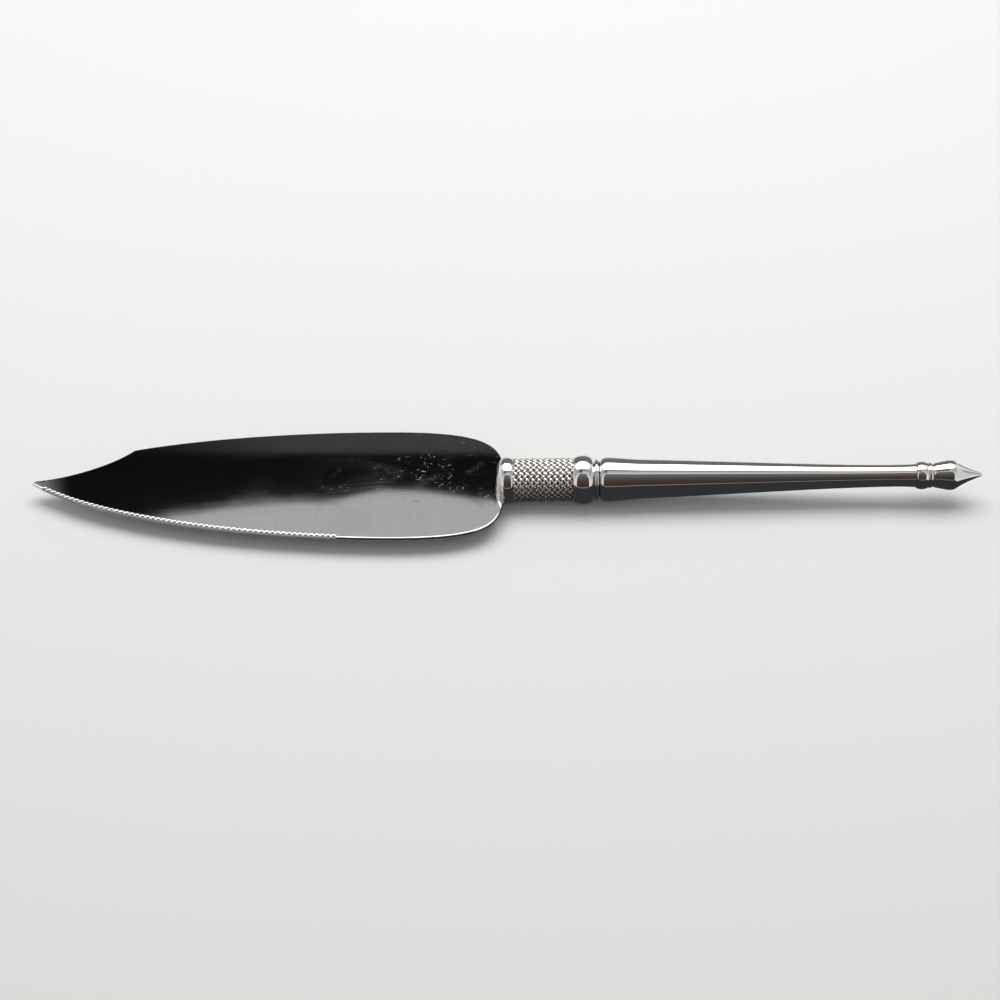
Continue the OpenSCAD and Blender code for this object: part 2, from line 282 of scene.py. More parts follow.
def lathe(layout, name, profile, around):
    """Turns a profile of places and radii round the axis. It is open or a closed ring."""
    ring = np.allclose(profile[0], profile[-1])
    rows = profile[:-1] if ring else profile
    angle = np.linspace(0, 2 * math.pi, around, endpoint=False)
    points, starts = [], []
    for x, r in rows:
        starts.append(len(points))
        if r < 1e-6:
            points.append((x, 0, 0))
        else:
            points.extend((x, r * math.cos(a), r * math.sin(a)) for a in angle)
    faces = []
    last = len(rows) if ring else len(rows) - 1
    for i in range(last):
        k = (i + 1) % len(rows)
        a, b = starts[i], starts[k]
        for j in range(around):
            n = (j + 1) % around
            if rows[i][1] < 1e-6:
                faces.append((a, b + n, b + j))
            elif rows[k][1] < 1e-6:
                faces.append((a + j, a + n, b))
            else:
                faces.append((a + j, a + n, b + n, b + j))
    return mesh_piece(name, layout.tilted(points), faces)


def seat(obj, slot, *nodes):
    """Rides the piece on the body and hides the solids that it stands for. The slot is not used."""
    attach(obj, BODY)
    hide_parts(*nodes)


# Node helpers


def fill(tree, node, inputs):
    """Fills a node's inputs, each with a number, a colour or another node's output."""
    for key, value in inputs.items():
        if isinstance(value, bpy.types.NodeSocket):
            tree.links.new(value, node.inputs[key])
        else:
            node.inputs[key].default_value = value
    return node


def put(tree, kind, inputs=None, **settings):
    """Adds a node with its settings and its inputs."""
    node = tree.nodes.new(kind)
    for key, value in settings.items():
        setattr(node, key, value)
    return fill(tree, node, inputs or {})


def math_node(tree, operation, a, b=0.0):
    return put(tree, "ShaderNodeMath", {0: a, 1: b}, operation=operation).outputs[0]


def vector_node(tree, operation, a, b):
    return put(tree, "ShaderNodeVectorMath", {0: a, 1: b}, operation=operation).outputs[0]


def noise_node(tree, place, size, detail, output="Fac", **more):
    """Noise at a place. Size is how many of its waves go into a metre."""
    sockets = {"Vector": place, "Scale": size, "Detail": detail, **more}
    return put(tree, "ShaderNodeTexNoise", sockets).outputs[output]


def mapped(tree, place, **sockets):
    """The place, turned or scaled."""
    return put(tree, "ShaderNodeMapping", {"Vector": place, **sockets}).outputs[0]


def split(tree, place):
    return put(tree, "ShaderNodeSeparateXYZ", {0: place}).outputs


def far_off(tree, place):
    """Distance of a place from the origin."""
    return put(tree, "ShaderNodeVectorMath", {0: place}, operation="LENGTH").outputs["Value"]


def ramp(tree, value, low, high, to_low=0.0, to_high=1.0):
    sockets = {"Value": value, "From Min": low, "From Max": high, "To Min": to_low, "To Max": to_high}
    return put(tree, "ShaderNodeMapRange", sockets, interpolation_type="SMOOTHSTEP").outputs["Result"]


def new_group(name, values, masks):
    """Node group that takes a place and named values, and puts out masks."""
    tree = bpy.data.node_groups.new(name, "ShaderNodeTree")
    tree.interface.new_socket("Place", in_out="INPUT", socket_type="NodeSocketVector")
    for label, value in values.items():
        socket = tree.interface.new_socket(label, in_out="INPUT", socket_type="NodeSocketFloat")
        socket.default_value = value
    for label in masks:
        tree.interface.new_socket(label, in_out="OUTPUT", socket_type="NodeSocketFloat")
    return tree, tree.nodes.new("NodeGroupInput").outputs, tree.nodes.new("NodeGroupOutput").inputs


def use_group(tree, name, make, **values):
    """Places the group of that name, which is made when it is first used."""
    node = put(tree, "ShaderNodeGroup", node_tree=bpy.data.node_groups.get(name) or make(name))
    return fill(tree, node, {key.replace("_", " "): value for key, value in values.items()})


def scratches_group(name):
    """Fine polishing lines along one direction, with a few stray hairlines across."""
    values = {"Along": 60.0, "Across": 2600.0, "Turn": 0.0}
    tree, given, out = new_group(name, values, ("Lines", "Hairlines"))
    along, across = given["Along"], given["Across"]
    turn = put(tree, "ShaderNodeCombineXYZ", {2: given["Turn"]}).outputs[0]
    stretch = put(tree, "ShaderNodeCombineXYZ", {0: along, 1: across, 2: across}).outputs[0]
    placed = mapped(tree, given["Place"], Rotation=turn)
    scaled = vector_node(tree, "MULTIPLY", placed, stretch)
    tree.links.new(noise_node(tree, scaled, 1.0, 4.0, Roughness=0.65), out["Lines"])
    most = 0.0
    # Each set of hairlines: its angle, its waves in a metre along and across, and how rare it is
    for angle, waves, fine, rare in (
        (0.3, 22.0, 2100.0, 0.70),
        (-0.2, 17.0, 2600.0, 0.71),
        (1.2, 60.0, 2400.0, 0.73),
    ):
        turned = mapped(tree, placed, Rotation=(0, 0, angle), Scale=(waves, fine, fine))
        noise = noise_node(tree, turned, 1.0, 1.0)
        most = math_node(tree, "MAXIMUM", ramp(tree, noise, rare, rare + 0.05), most)
    tree.links.new(most, out["Hairlines"])
    return tree


def marks_group(name):
    """Small bright nicks and soft smears, such as handling leaves on polished metal."""
    values = {"Nick size": 1050.0, "Smear size": 70.0, "Spread": 0.36}
    tree, given, out = new_group(name, values, ("Nicks", "Smears"))
    place = given["Place"]
    bend = noise_node(tree, place, 1500.0, 2.0, "Color")
    shift = vector_node(tree, "SUBTRACT", bend, (0.5, 0.5, 0.5))
    small = put(tree, "ShaderNodeVectorMath", {0: shift, "Scale": 0.0016}, operation="SCALE").outputs[0]
    flat = vector_node(tree, "MULTIPLY", vector_node(tree, "ADD", place, small), (0.6, 1.0, 1.0))
    spots = noise_node(tree, flat, given["Nick size"], 1.0, Distortion=0.9)
    near = ramp(tree, spots, 0.672, 0.722)
    patches = noise_node(tree, place, 130.0, 1.0)
    few = ramp(tree, patches, given["Spread"], 0.62)
    tree.links.new(math_node(tree, "MULTIPLY", near, few), out["Nicks"])
    long = vector_node(tree, "MULTIPLY", place, (0.5, 1.0, 1.0))
    smear = noise_node(tree, long, given["Smear size"], 5.0, Distortion=1.2)
    tree.links.new(ramp(tree, smear, 0.5, 0.72), out["Smears"])
    return tree


def empty_tree(holder):
    """Node tree of a material or a world, without its nodes."""
    holder.use_nodes = True
    holder.node_tree.nodes.clear()
    return holder.node_tree


def new_material(name, metallic=1.0):
    """Material with its tree, its Principled shader and its object coordinates."""
    material = bpy.data.materials.new(name)
    tree = empty_tree(material)
    shader = put(tree, "ShaderNodeBsdfPrincipled", {"Metallic": metallic})
    put(tree, "ShaderNodeOutputMaterial", {"Surface": shader.outputs[0]})
    place = tree.nodes.new("ShaderNodeTexCoord").outputs["Object"]
    return material, tree, shader, place


def feed(tree, shader, colours, rough, height=None, strength=0.0, deep=0.0):
    """Gives the shader its colour, its roughness and the bumps of a height."""
    fill(tree, shader, {"Base Color": colours, "Roughness": rough})
    if height is not None:
        bump = put(tree, "ShaderNodeBump", {"Height": height, "Strength": strength, "Distance": deep})
        fill(tree, shader, {"Normal": bump.outputs[0]})


def mixed(tree, amount, low, high):
    """Colour that goes from low to high with the amount."""
    ends = {0: amount, 6: (*low, 1.0), 7: (*high, 1.0)}
    return put(tree, "ShaderNodeMix", ends, data_type="RGBA").outputs[2]


def summed(tree, *parts):
    """Sum of outputs, each times its weight, after a plain number."""
    total, parts = parts[0], parts[1:]
    for value, weight in parts:
        node = put(tree, "ShaderNodeMath", {0: value, 1: weight, 2: total}, operation="MULTIPLY_ADD")
        total = node.outputs[0]
    return total


def darker(tint, part):
    return tuple(c * part for c in tint)


def polishing_lines(tree, place, **values):
    return use_group(tree, "Polishing lines", scratches_group, Place=place, **values).outputs


def handling_marks(tree, place, **values):
    return use_group(tree, "Nicks and smears", marks_group, Place=place, **values).outputs


def stroke(tree, x, y, start, end, wide):
    """Mask of one thin scratch between two places, in metres."""
    (x0, y0), (x1, y1) = start, end
    run = math.hypot(x1 - x0, y1 - y0)
    ux, uy = (x1 - x0) / run, (y1 - y0) / run
    along = summed(tree, -(x0 * ux + y0 * uy), (x, ux), (y, uy))
    aside = math_node(tree, "ABSOLUTE", summed(tree, x0 * uy - y0 * ux, (x, -uy), (y, ux)))
    begun, ended = ramp(tree, along, 0.0, run * 0.2), ramp(tree, along, run, run * 0.7)
    inside = math_node(tree, "MULTIPLY", begun, ended)
    return math_node(tree, "MULTIPLY", inside, ramp(tree, aside, wide, wide * 0.3))


def blade_material(finishes, layout):
    material, tree, shader, place = new_material("polished_blade_steel")
    lines = polishing_lines(tree, place, Turn=-0.1)
    marks = handling_marks(tree, place)
    steel = tuple(finishes.blade)
    grain = noise_node(tree, mapped(tree, place, Scale=(700.0, 60.0, 60.0)), 1.0, 3.0)
    uneven = summed(tree, -0.2, (marks["Smears"], 0.5), (grain, 0.9))
    x, y, _ = split(tree, place)
    # Marks gather towards the heel, on the half away from the teeth
    toward_heel = ramp(tree, x, -0.075, -0.025, 0.25, 1.0)
    worn = math_node(tree, "MULTIPLY", toward_heel, ramp(tree, y, -0.012, 0.001, 0.25, 1.0))
    nicks = math_node(tree, "MULTIPLY", marks["Nicks"], worn)
    smears = math_node(tree, "MULTIPLY", marks["Smears"], toward_heel)
    shift = -layout.middle * MM
    long_one = stroke(tree, x, y, (-0.0805 + shift, 0.0178), (-0.066 + shift, 0.0262), 0.00035)
    soft_one = stroke(tree, x, y, (-0.014 + shift, 0.0045), (-0.007 + shift, 0.0118), 0.0016)
    total = summed(
        tree,
        finishes.blade_rough,
        (lines["Lines"], 0.006),
        (smears, 0.045),
        (lines["Hairlines"], 0.012),
        (nicks, 0.16),
        (long_one, 0.08),
        (soft_one, 0.03),
    )
    height = summed(tree, 0.0, (lines["Lines"], 0.1), (lines["Hairlines"], -0.1), (nicks, -0.4))
    feed(tree, shader, mixed(tree, uneven, steel, darker(steel, 0.9)), total, height, 0.10, 0.00002)
    return material


def turned_material(finishes):
    """Bright metal that all the turned pieces share."""
    name = "bright_turned_metal"
    if name in bpy.data.materials:
        return bpy.data.materials[name]
    material, tree, shader, place = new_material(name)
    lines = polishing_lines(tree, place, Along=1800.0, Across=60.0)
    marks = handling_marks(tree, place, Nick_size=1500.0, Smear_size=90.0, Spread=0.58)
    metal = tuple(finishes.handle)
    colours = mixed(tree, marks["Smears"], metal, darker(metal, 0.95))
    total = summed(tree, finishes.handle_rough, (marks["Smears"], 0.02), (marks["Nicks"], 0.1))
    feed(tree, shader, colours, total, lines["Lines"], 0.04, 0.00002)
    return material


def off_axis(tree, place, layout):
    """Distance of a place from the handle's axis, in metres."""
    slope = math.tan(layout.tilt)
    x, y, z = split(tree, place)
    axis = summed(tree, (layout.axis_h + layout.middle * slope) * MM, (x, slope))
    up = math_node(tree, "SUBTRACT", z, axis)
    aside = math_node(tree, "SUBTRACT", y, layout.belly * MM)
    return far_off(tree, put(tree, "ShaderNodeCombineXYZ", {0: aside, 1: up}).outputs[0])


def wire_material(finishes, layout, low, high):
    """Wire whose colour is painted darker below one distance from the axis, as painted shade deep between
    the wires, and bright above another.
    """
    material, tree, shader, place = new_material("woven_bright_wire")
    radius = off_axis(tree, place, layout)
    noise = noise_node(tree, place, 700.0, 3.0)
    wobble = summed(tree, radius, (noise, 0.0003))
    out_of_painted_shade = ramp(tree, wobble, (low + 0.15) * MM, (high + 0.15) * MM)
    # Painted shade: the colour darkens towards the axis, where the wires shade one another
    colours = mixed(tree, out_of_painted_shade, tuple(finishes.shade), tuple(finishes.wire))
    feed(tree, shader, colours, ramp(tree, out_of_painted_shade, 0.0, 1.0, 0.45, 0.23), noise, 0.15, 0.00003)
    return material


def dull_material(name, tint):
    material, tree, shader, place = new_material(name, 0.9)
    noise = noise_node(tree, place, 500.0, 4.0)
    colours = mixed(tree, ramp(tree, noise, 0.3, 0.7), darker(tint, 0.6), tint)
    feed(tree, shader, colours, ramp(tree, noise, 0.3, 0.7, 0.6, 0.45))
    return material


def dress(obj, material):
    obj.data.materials.clear()
    obj.data.materials.append(material)


# Blade


# Rows of points, in millimetres in from the serrated edge and in from the plain one
ROWS_IN = np.array(
    [0, 0.03, 0.08, 0.15, 0.24, 0.34, 0.46, 0.58, 0.7, 0.8]
    + [0.9, 0.98, 1.06, 1.13, 1.19, 1.25, 1.31, 1.38, 1.5, 1.6]
)
ROWS_OUT = np.array([1.6, 0.62, 0.5, 0.38, 0.26, 0.15, 0.07, 0.02, 0])
ROWS_BETWEEN = 5
TOOTH_STEP = 0.135  # millimetres from column to column of points along the teeth
LEAST_STEP = 0.012  # millimetres that two columns stand apart at least
BEND_START = -12  # where the columns draw together for the bend of the heel
HEEL_HALF = 6.1  # half the width of the heel where it meets the bolster


def nose_run(sizes, n=12):
    """Blunt nose, from the clip's side to the teeth's."""
    long, nose = mm(sizes.long), mm(sizes.nose)
    return bezier((1.6 - long, nose - 0.35), (-long, nose * 0.5), (-long, 0), (0.7 - long, -0.35), n)


def blade_edges(sizes):
    """Near edge and far edge of the blade, each from the tip to the heel's corner."""
    long, wide = mm(sizes.long), mm(sizes.wide)
    nose = nose_run(sizes, 40)
    low, top = nose[-1], nose[0]
    widest = np.array([-mm(sizes.widest_at), -wide / 2 - mm(sizes.belly)])
    far = np.array([-mm(sizes.widest_at), wide / 2 - mm(sizes.belly)])
    corner = np.array([0.0, -HEEL_HALF])
    clip = np.array([mm(sizes.clip_long) - long, mm(sizes.clip_wide)])
    edge = bezier(low, low + [25.3, -19.2], widest - [41, 0], widest, 400)
    heel = bezier(widest, (widest[0] * 0.03, widest[1]), (-2.8, widest[1] * 0.66), corner, 160)
    far_heel = bezier(far, (far[0] * 0.145, far[1]), (-1.5, far[1] * 0.73), corner * [1, -1], 160)
    back = bezier(clip, clip + [16.6, 4.6], far - [41, 0], far, 240)
    hollow = bezier(top, top + [11.8, 1.9], clip - [6.3, 7.2], clip, 160)
    split = int(nose[:, 0].argmin())
    return chain(nose[split:], edge, heel), chain(nose[: split + 1][::-1], hollow, back, far_heel)


def sheet_height(sizes, layout, x):
    """Height of the sheet's middle over the level of the axis at the bolster's crown."""
    slope = math.tan(layout.tilt)
    top = np.array([-3.0, -3 * slope - mm(sizes.tang_drop) / math.cos(layout.tilt)])
    crank = mm(sizes.crank)
    foot = np.array([top[0] - crank, -mm(sizes.drop)])
    rise = top[1] - foot[1]
    run = bezier(foot, foot + [crank * 0.4, 0], top - [crank * 0.3, rise * 0.35], top, 80)
    run = chain([(-mm(sizes.long) - 5, foot[1])], run, [(30, top[1] + 33 * slope)])
    return np.interp(x, run[:, 0], run[:, 1])


def along_run(points):
    step = np.linalg.norm(np.diff(points, axis=0), axis=1)
    return np.concatenate([[0], np.cumsum(step)])


def tooth_cut(teeth, run_at_start, run, off):
    """Depth of the ground hollows at a place along the edge and in from it."""
    pitch, wheel = mm(teeth.pitch), mm(teeth.wheel)
    count = math.floor((run_at_start - mm(teeth.plain_tip)) / pitch)
    back = (run_at_start - run) / pitch
    index = np.floor(back)
    side = (back - index - 0.5) * pitch
    depth = mm(teeth.deep) * (1 - off / mm(teeth.run))
    cut = depth - (wheel - np.sqrt(np.maximum(wheel**2 - side**2, 0)))
    cut = (cut + np.sqrt(cut**2 + 4 * mm(teeth.soft) ** 2)) / 2
    return np.where((index >= 0) & (index < count) & (off < 1.2 * mm(teeth.run)), cut, 0)


def blade_columns(teeth, near, far):
    """Places along the blade at which the mesh has a column of points."""
    start = -mm(teeth.start)
    tip = near[0, 0]
    pieces = [
        near[near[:, 0] < tip + 1.5][:, 0],
        far[far[:, 0] < tip + 2.5][:, 0],
        np.arange(tip + 1.5, start + 0.4, TOOTH_STEP),
        np.linspace(start + 0.4, BEND_START, 60),
        np.linspace(BEND_START, -3, 46),
        near[near[:, 0] > -3][:, 0],
    ]
    x = np.unique(np.round(np.concatenate(pieces), 4))
    keep = np.concatenate([[True], np.diff(x) > LEAST_STEP])
    return x[keep]


def sheet_faces(rows, columns):
    """Faces of a closed sheet: an upper and a lower grid of points, joined round the rim."""
    under = rows * columns
    faces = []

    def at(row, column):
        return row * columns + column

    def rim(a, b):
        faces.append((a, b, under + b, under + a))

    for i in range(rows - 1):
        for j in range(columns - 1):
            a, b, c, d = at(i, j), at(i, j + 1), at(i + 1, j + 1), at(i + 1, j)
            faces.append((a, b, c, d))
            faces.append((under + d, under + c, under + b, under + a))
    last_row, last = rows - 1, columns - 1
    for j in range(columns - 1):
        rim(at(0, j + 1), at(0, j))
        rim(at(last_row, j), at(last_row, j + 1))
    for i in range(rows - 1):
        rim(at(i, 0), at(i + 1, 0))
        rim(at(i + 1, last), at(i, last))
    return faces


class PIESERVER_OT_blade(Operator):
    """Make the blade: a thin polished sheet with a ground, serrated edge"""

    bl_idname = "pie_server.blade"
    bl_label = "Make blade"

    def execute(self, context):
        scene = context.scene
        sizes, teeth = scene.blade_sizes, scene.tooth_sizes
        layout = Layout(scene)
        near, far = blade_edges(sizes)
        x = blade_columns(teeth, near, far)
        low = np.interp(x, near[:, 0], near[:, 1])
        high = np.interp(x, far[:, 0], far[:, 1])
        # The tang goes on from the heel's corners
        half = mm(sizes.tang_wide) / 2
        x = np.concatenate([x, [x[-1] + 0.03, mm(sizes.tang_long)]])
        low, high = np.append(low, [-half, -half]), np.append(high, [half, half])
        slope_near = np.hypot(1, np.gradient(low, x))
        slope_far = np.hypot(1, np.gradient(high, x))
        room = high - low
        fit_near = np.minimum(slope_near, room * 0.45 / ROWS_IN[-1])
        fit_far = np.minimum(slope_far, room * 0.3 / ROWS_OUT[0])
        rows = [low + o * fit_near for o in ROWS_IN]
        last, first = rows[-1], high - ROWS_OUT[0] * fit_far
        steps = ROWS_BETWEEN + 1
        rows += [last + (first - last) * k / steps for k in range(1, steps)]
        rows += [high - o * fit_far for o in ROWS_OUT]
        y = np.array(rows)
        across = np.broadcast_to(x, y.shape)
        edge_run = along_run(near)
        start_run = np.interp(-mm(teeth.start), near[:, 0], edge_run)
        # The nearest place of the edge, to first order: the foot of the normal
        tangent = np.gradient(low, x)
        off_y = y - low
        foot_x = across + off_y * tangent / (1 + tangent**2)
        off_near = off_y / slope_near
        run = np.interp(foot_x, near[:, 0], edge_run)
        off_far = (high - y) / slope_far
        middle = sheet_height(sizes, layout, x)

        def rounding(radius):
            inside = np.clip(radius - np.minimum(off_near, off_far), 0, radius)
            return radius - np.sqrt(radius**2 - inside**2)

        hollows = tooth_cut(teeth, start_run, run, np.clip(off_near, 0, None))
        thick = mm(sizes.thick) / 2
        top = middle + thick - np.maximum(hollows, rounding(mm(sizes.top_round)))
        bottom = middle - thick + rounding(mm(sizes.low_round))
        points = np.concatenate(
            [np.column_stack([across.ravel(), y.ravel(), face.ravel()]) for face in (top, bottom)]
        )
        obj = mesh_piece("blade_sheet", layout.level(points), sheet_faces(*y.shape), 42.0)
        dress(obj, blade_material(scene.finishes, layout))
        seat(obj, "blade_steel", "blade")
        return {"FINISHED"}


# Turned pieces


def turn_piece(scene, layout, node, profile, around=224):
    """Turned piece of the handle, in bright metal."""
    obj = lathe(layout, node + "_turned", profile, around)
    dress(obj, turned_material(scene.finishes))
    seat(obj, "handle_metal", node)


class PIESERVER_OT_beads(Operator):
    """Make the two beads: the bolster in front of the woven band and the collar behind it"""

    bl_idname = "pie_server.beads"
    bl_label = "Make bolster and collar"

    def execute(self, context):
        scene = context.scene
        h = scene.handle_sizes
        place = Layout(scene)
        crown, nose, back = mm(h.bolster_r), mm(h.bolster_nose), mm(h.bolster_back)
        flat, back_r = mm(h.bolster_flat), mm(h.bolster_back_r)
        bore = mm(h.spigot_r) + place.gap
        bolster = chain(
            [(-nose, 0)],
            bezier((-nose, flat), (0.1 - nose, crown * 0.55), (-nose * 0.7, crown), (0, crown), 48),
            bezier((0, crown), (back * 0.45, crown), (back * 0.85, crown - 0.1), (back, back_r), 24),
            [(back, bore), (0, bore), (0, 0)],
        )
        groove = mm(h.groove_r)
        collar = chain(
            [(place.collar_front, bore)],
            bead_run(place.collar_front, place.bead_end, mm(h.collar_side_r), mm(h.collar_r), 48),
            [(place.bead_end, groove), (place.ring_front, groove)],
            bead_run(place.ring_front + 0.02, place.collar_back - 0.02, groove + 0.35, mm(h.ring_r)),
            [(place.collar_back, groove), (place.collar_back, bore), (place.collar_front, bore)],
        )
        turn_piece(scene, place, "bolster", bolster)
        turn_piece(scene, place, "collar", collar)
        return {"FINISHED"}


class PIESERVER_OT_grip(Operator):
    """Make the long tapered grip"""

    bl_idname = "pie_server.grip"
    bl_label = "Make grip"

    def execute(self, context):
        scene = context.scene
        h, f = scene.handle_sizes, scene.finial_sizes
        place = Layout(scene)
        front, back = place.grip_front, place.grip_back
        shoulder = np.array([front + 2.7, mm(h.grip_r)])
        waist = np.array([front + mm(h.waist_at), mm(h.waist_r)])
        thin = np.array([back - mm(h.thin_at), mm(h.thin_r)])
        taper = thin[0] - waist[0]
        end_r, thin_at = mm(h.end_r), mm(h.thin_at)
        bore, stud = mm(h.spigot_r) + place.gap, mm(f.stud_r) + place.gap
        depth = front + mm(h.rod_in_grip) + place.gap
        hole = place.finial_front - mm(f.stud_long) - place.gap
        face = (front, mm(h.groove_r) + 0.2)
        flare = (back - thin_at * 0.25, end_r - 0.15)
        profile = chain(
            [(depth, 0), (depth, bore), (front, bore)],
            bezier(face, (front + 0.2, shoulder[1] - 0.4), shoulder - [1.3, 0], shoulder, 32),
            bezier(shoulder, shoulder + [3.4, 0], waist - [5.4, -0.25], waist, 40),
            bezier(waist, waist + [taper * 0.38, -1], thin + [-taper * 0.28, 0.25], thin, 80),
            bezier(thin, thin + [thin_at * 0.4, -0.05], flare, (back, end_r), 24),
            [(back, stud), (hole, stud), (hole, 0)],
        )
        turn_piece(scene, place, "grip", profile)
        return {"FINISHED"}


class PIESERVER_OT_finial(Operator):
    """Make the finial: a ringed bead, a narrow ring, a swelling body and a cone"""

    bl_idname = "pie_server.finial"
    bl_label = "Make finial"

    def execute(self, context):
        scene = context.scene
        f = scene.finial_sizes
        place = Layout(scene)
        front, neck_r = place.finial_front, mm(f.neck_r)
        ring = front + mm(f.bead_wide) + 0.1
        neck = ring + mm(f.ring_wide)
        body = neck + 0.4
        shoulder = np.array([body + mm(f.body_long), mm(f.body_r)])
        end, tip = shoulder[0] + mm(f.cone_long), mm(f.tip_r)
        stud_start = front - mm(f.stud_long)
        swell = np.array([body + 0.02, neck_r + 0.1])
        before, after = shoulder - [1.6, 0.12], shoulder + [1.2, -0.5]
        point = (end - tip * 0.75, tip * 0.8)
        profile = chain(
            [(stud_start, 0), (stud_start, mm(f.stud_r)), (front, mm(f.stud_r))],
            [(front, neck_r)],
            bead_run(front + 0.1, front + mm(f.bead_wide), neck_r + 0.35, mm(f.bead_r), 36),
            bead_run(ring, neck, neck_r + 0.1, mm(f.ring_r), 20),
            [(neck + 0.1, neck_r), (body, neck_r)],
            bezier(swell, swell + [0.98, 0.5], shoulder - [3.4, 0.55], before, 28),
            bezier(before, shoulder - [0.6, 0], shoulder + [0.5, 0.02], after, 28),
            bezier(after, shoulder + [3.4, -1.95], (end - 4, 1.75), point, 40),
            bezier(point, (end - tip * 0.4, tip * 0.62), (end, tip * 0.3), (end, 0), 10),
        )
        turn_piece(scene, place, "finial", profile, 160)
        return {"FINISHED"}


# Woven band


ROUND = 2 * math.pi
WIRE_SIDES = 8
WIRE_RINGS = 130


def wire_tube(path, outward, wide, thick, sides=WIRE_SIDES):
    """Closed tube along a path, wider across than it is thick, with a flattened back."""
    n = len(path)
    forward = np.gradient(path, axis=0)
    forward /= np.linalg.norm(forward, axis=1)[:, None]
    across = np.cross(forward, outward)
    across /= np.linalg.norm(across, axis=1)[:, None]
    up = np.cross(across, forward)
    points = []
    for k in range(sides):
        a = ROUND * k / sides
        flat = math.copysign(abs(math.cos(a)) ** 0.6, math.cos(a))
        points.append(path + across * wide / 2 * flat + up * thick / 2 * math.sin(a))
    points = np.stack(points, axis=1).reshape(-1, 3)
    faces = []
    for i in range(n - 1):
        for k in range(sides):
            a, b = i * sides + k, i * sides + (k + 1) % sides
            faces.append((a, b, b + sides, a + sides))
    faces.append(tuple(range(sides))[::-1])
    faces.append(tuple(range((n - 1) * sides, n * sides)))
    return points, faces


class PIESERVER_OT_band(Operator):
    """Make the woven band: bright wires braided round the rod, one over and one under"""

    bl_idname = "pie_server.band"
    bl_label = "Make woven band"

    def execute(self, context):
        scene = context.scene
        b = scene.band_sizes
        place = Layout(scene)
        chance = random.Random(b.seed)
        wide, thick, outer = mm(b.wire_wide), mm(b.wire_thick), mm(b.radius)
        lift = thick * 0.48
        middle_r = outer - thick / 2 - lift - 0.04
        u = np.linspace(0, mm(b.long) / mm(b.pitch), WIRE_RINGS)
        x = place.band_start + u * mm(b.pitch)
        points, faces, base = [], [], 0
        for way in (1, -1):
            # One over and one under. The wires of one way are a little broader and stand higher
            wave = np.cos(ROUND * u)
            wave = wave * (1.35 - 0.35 * wave**2) * -way * lift + 0.03 * way
            for k in range(b.wires):
                start, pace = chance.uniform(0, 6.28), chance.uniform(0.7, 1.6)
                sway = chance.uniform(0.02, 0.07)
                turn = k + way * u + sway * np.sin(u * pace + start)
                angle = ROUND * turn / b.wires
                r = middle_r + wave + chance.uniform(-0.02, 0.02)
                outward = np.column_stack([np.zeros_like(u), np.cos(angle), np.sin(angle)])
                path = np.column_stack([x, r * np.cos(angle), r * np.sin(angle)])
                broad = wide * chance.uniform(0.92, 1.08) * (1.14 if way == 1 else 0.86)
                p, f = wire_tube(path, outward, broad, thick)
                points.append(p)
                faces.extend(tuple(i + base for i in face) for face in f)
                base += len(p)
        obj = mesh_piece("band_wires", place.tilted(np.vstack(points)), faces, 60.0)
        low = middle_r - lift - thick / 2
        dress(obj, wire_material(scene.finishes, place, low + 0.35, outer - 0.12))
        seat(obj, "band_wire", "woven_band")
        # A dull sleeve under the wires in the painted shade colour: painted shade seen through the gaps
        # between the wires
        inner, sleeve_r = mm(b.core_r) + place.gap, low + 0.25
        start, end = place.band_start, place.band_end
        sleeve = chain([(start, inner), (start, sleeve_r), (end, sleeve_r), (end, inner), (start, inner)])
        backing = lathe(place, "band_backing", sleeve, 96)
        dress(backing, dull_material("band_shade", tuple(scene.finishes.shade)))
        seat(backing, "band_wire", "woven_band")
        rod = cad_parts["core_rod"]
        dress(rod, dull_material("dull_rod_steel", tuple(scene.finishes.rod)))
        return {"FINISHED"}


# Stage. The cards are painted reflections: glowing cards, not lamps, that stand for the studio that
# polished metal mirrors, and only metal sees them

WALL = 0.5  # metres from the handle's axis to the wall of cards behind it
FRONT = -0.75  # place of the cards in front
ROOF = 1.6  # height of the cards overhead
SIDE = 1.3  # metres to the cards at the two ends
BLACK = (0.006, 0.006, 0.0065)
CARD_STEP = 0.01  # metres by which a card stands before another
BACKDROP = 0.86  # strength of the backdrop that the camera and the metal see
EYE_ASIDE = -0.0023  # metres from the piece's middle to the camera, along the piece

# Border of the light in the near half, in millimetres on the blade's face
NEAR_LIGHT = [
    *[(-121, -22), (-111, -17), (-103, -15.5), (-96, -13.6), (-88, -12), (-79, -10.5)],
    *[(-70, -9.8), (-61, -9.8), (-55, -8.3), (-48, -5.5), (-40, -3.8), (-32, -4)],
    *[(-24, -5.2), (-16, -6.8), (-8, -9.3), (-2, -14)],
]
# Border of the dark card over the pale floor, seen from above, that the handle and the blade's rim mirror:
# a painted dark reflection
FLOOR_LINE = [
    *[(-162, -1), (-140, -14), (-110, -23.5), (-80, -27.4), (-40, -29), (-14, -26)],
    *[(-4, -16), (2, 9), (163, 9)],
]
UNDER_BLADE = 1.6  # millimetres by which it stays clear of the blade's edge


def upright(x0, x1, z0, z1, y):
    """Corners of a card that faces along the picture's depth."""
    return [(x0, y, z0), (x1, y, z0), (x1, y, z1), (x0, y, z1)]


def overhead(x0, x1, y0, y1, z):
    return [(x0, y0, z), (x1, y0, z), (x1, y1, z), (x0, y1, z)]


def softness(x):
    """How far the near half's light fades beyond its border, in millimetres."""
    return float(np.interp(x, [-110, -50], [3.6, 1.0]))


